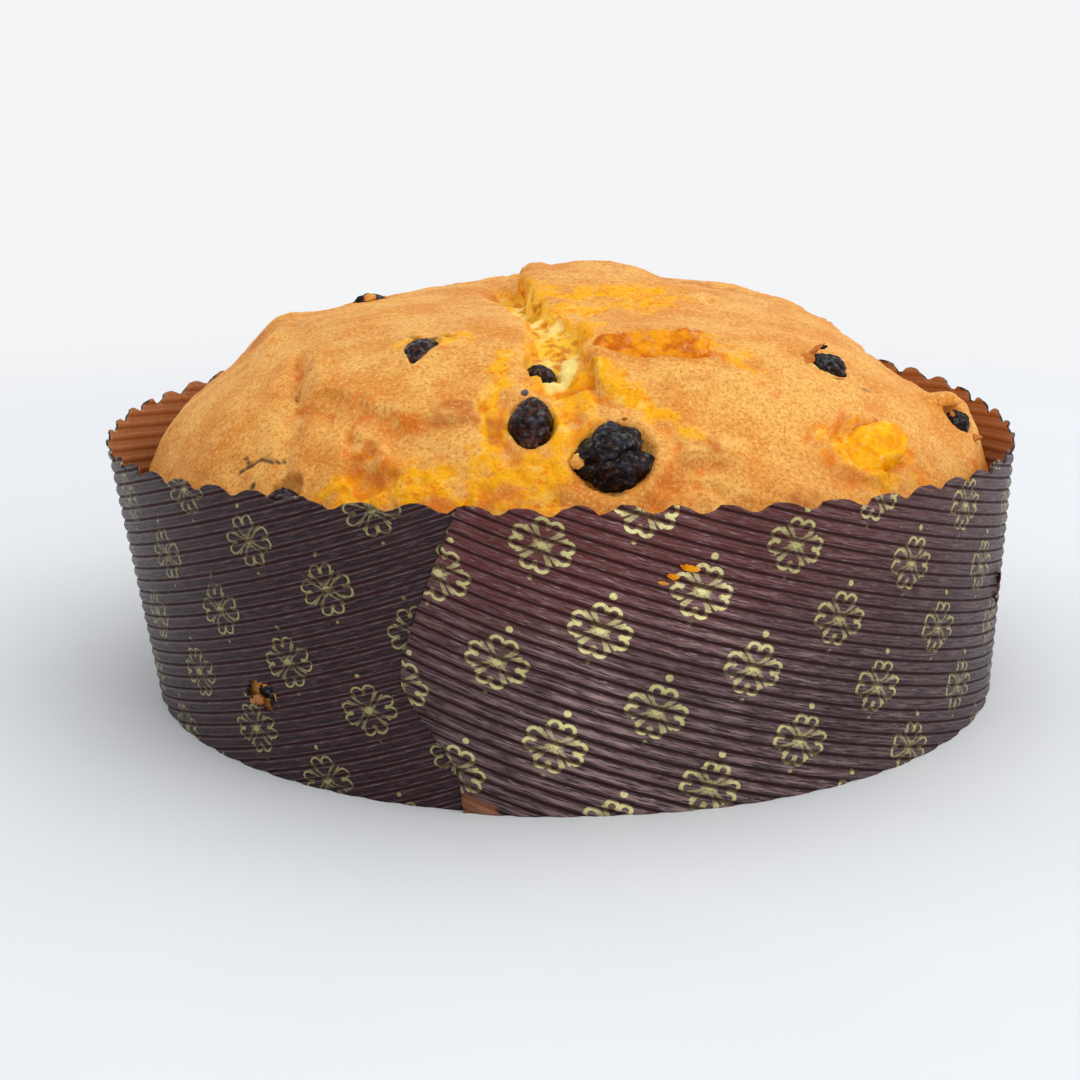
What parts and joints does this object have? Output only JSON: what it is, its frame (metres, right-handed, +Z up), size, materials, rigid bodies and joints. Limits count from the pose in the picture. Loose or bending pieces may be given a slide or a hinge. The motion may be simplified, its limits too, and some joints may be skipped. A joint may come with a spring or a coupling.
{
  "type": "panettone in a paper case",
  "caption": "Low domed panettone with raisins and candied peel, in its ribbed, scalloped brown paper baking case.",
  "frame": {"origin": "on the table, under the centre of the whole", "axes": "+Z up, -Y to the front, where the case's seam shows left of the middle"},
  "size_m": [0.2086, 0.2104, 0.0929],
  "materials": {
    "case_paper": "ribbed dark brown paper with gold flowers, kraft brown inside",
    "case_floor": "kraft brown, matt",
    "crust": "golden baked crust, yellow crumb in the cracks",
    "raisin": "wrinkled, slightly glossy",
    "peel": "glossy, translucent"
  },
  "bodies": {
    "root": {"paper_wall": "case_paper", "paper_floor": "case_floor", "cake": "crust", "raisin_big": "raisin", "raisin_centre": "raisin", "raisin_right": "raisin", "raisin_fissure": "raisin", "raisin_left": "raisin", "raisin_edge": "raisin", "raisin_back": "raisin", "raisin_front_left": "raisin", "peel_slab": "peel", "peel_lemon": "peel"}
  },
  "joints": []
}
